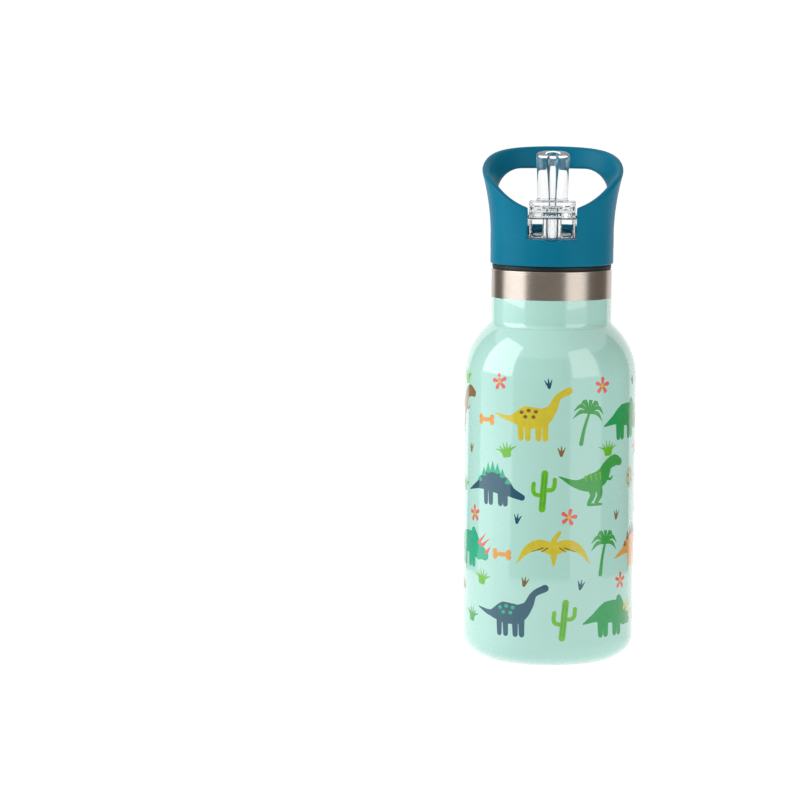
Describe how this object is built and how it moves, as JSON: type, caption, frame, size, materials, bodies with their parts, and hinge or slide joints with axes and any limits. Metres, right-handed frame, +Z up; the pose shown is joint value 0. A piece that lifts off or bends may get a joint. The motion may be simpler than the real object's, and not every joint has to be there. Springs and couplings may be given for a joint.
{
  "type": "kids water bottle",
  "caption": "Double-wall insulated water bottle with a screw-in lid, a carrying loop, a fold-down clear spout and a straw.",
  "frame": {"origin": "centre of the base, on the surface that the bottle stands on", "axes": "+Z up along the bottle, -Y towards the drinker, +X to the right when looking along +Y at the front"},
  "size_m": [0.07, 0.07, 0.2077],
  "materials": {
    "mint_paint": "gloss powder coat with printed pictures",
    "steel": "turned, fine lines around the bottle",
    "teal_plastic": "satin moulded polypropylene",
    "clear_plastic": "clear moulded copolyester",
    "dark_silicone": "matte silicone",
    "clear_silicone": "translucent silicone",
    "copper": "thin bright foil",
    "solder_glass": "fused dark glass",
    "getter_metal": "pressed metal powder"
  },
  "bodies": {
    "bottle": {"outer_shell": "steel", "powder_coat": "mint_paint", "inner_liner": "steel", "inner_bottom": "steel", "copper_foil": "copper", "outer_bottom": "steel", "vacuum_seal": "solder_glass", "getter": "getter_metal", "getter_clip": "steel", "base_cover": "steel"},
    "gasket": {"lid_gasket": "dark_silicone"},
    "lid": {"lid_shell": "teal_plastic", "lid_plug": "teal_plastic", "spout_seal": "clear_silicone", "vent_valve": "clear_silicone", "straw": "clear_plastic"},
    "spout": {"spout": "clear_plastic"}
  },
  "joints": [
    {"name": "lid_rise", "type": "slide", "parent": "bottle", "child": "gasket", "axis": [0, 0, 1], "range_m": [0, 0.01]},
    {"name": "lid_turn", "type": "hinge", "parent": "gasket", "child": "lid", "pos_m": [0, 0, 0.1589], "axis": [0, 0, 1], "range_deg": [0, 900]},
    {"name": "spout_flip", "type": "hinge", "parent": "lid", "child": "spout", "pos_m": [0, 0, 0.1785], "axis": [1, 0, 0], "range_deg": [0, 90]}
  ],
  "couplings": [
    {"joint": "lid_turn", "follows": "lid_rise", "rad_per_m": 1570.8}
  ]
}
